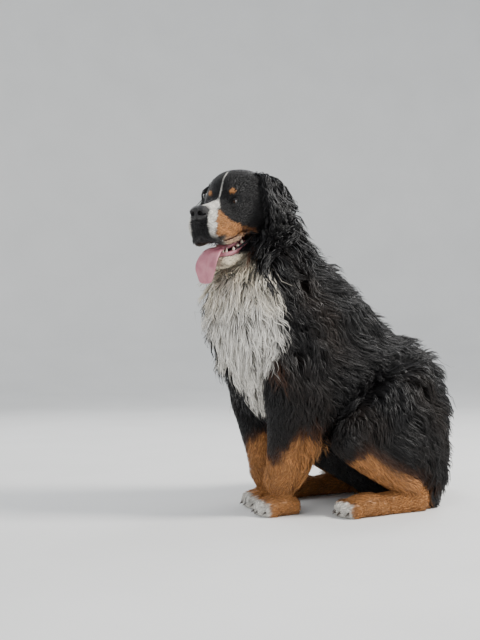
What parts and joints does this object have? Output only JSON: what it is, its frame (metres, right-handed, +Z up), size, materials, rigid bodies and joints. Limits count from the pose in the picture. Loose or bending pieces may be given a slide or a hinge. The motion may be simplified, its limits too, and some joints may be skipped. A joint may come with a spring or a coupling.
{
  "type": "bernese mountain dog, sitting",
  "caption": "Life-size sitting mountain dog with a long black, rust and white coat, its head turned and its tongue out.",
  "frame": {"origin": "on the floor, under the middle of the dog's box", "axes": "+Z up, -Y the way the chest faces, +X the dog's left"},
  "size_m": [0.53, 0.8628, 0.8836],
  "materials": {
    "coat_black": "long, wavy, glossy black hair",
    "coat_white": "long, soft white hair of the chest",
    "coat_rust": "rust brown hair",
    "eye": "wet, dark brown eye",
    "nose": "moist, pebbled black nose leather",
    "tongue": "wet pink tongue, gums and lips",
    "claw": "dark horn of the claws",
    "tooth": "ivory teeth"
  },
  "bodies": {
    "root": {"head": "coat_black", "neck": "coat_black", "loin": "coat_black", "rump": "coat_black", "tail_root": "coat_black", "tail_tip": "coat_black", "ear_left": "coat_black", "ear_right": "coat_black", "thigh_left": "coat_black", "thigh_right": "coat_black", "upper_foreleg_left": "coat_black", "upper_foreleg_right": "coat_black", "chest": "coat_white", "lower_foreleg_left": "coat_rust", "lower_foreleg_right": "coat_rust", "shank_left": "coat_rust", "shank_right": "coat_rust", "hind_foot_left": "coat_rust", "hind_foot_right": "coat_rust", "forepaw_left": "coat_rust", "forepaw_right": "coat_rust", "eye_left": "eye", "eye_right": "eye", "nose": "nose", "tongue": "tongue", "lower_jaw": "coat_white"}
  },
  "joints": []
}
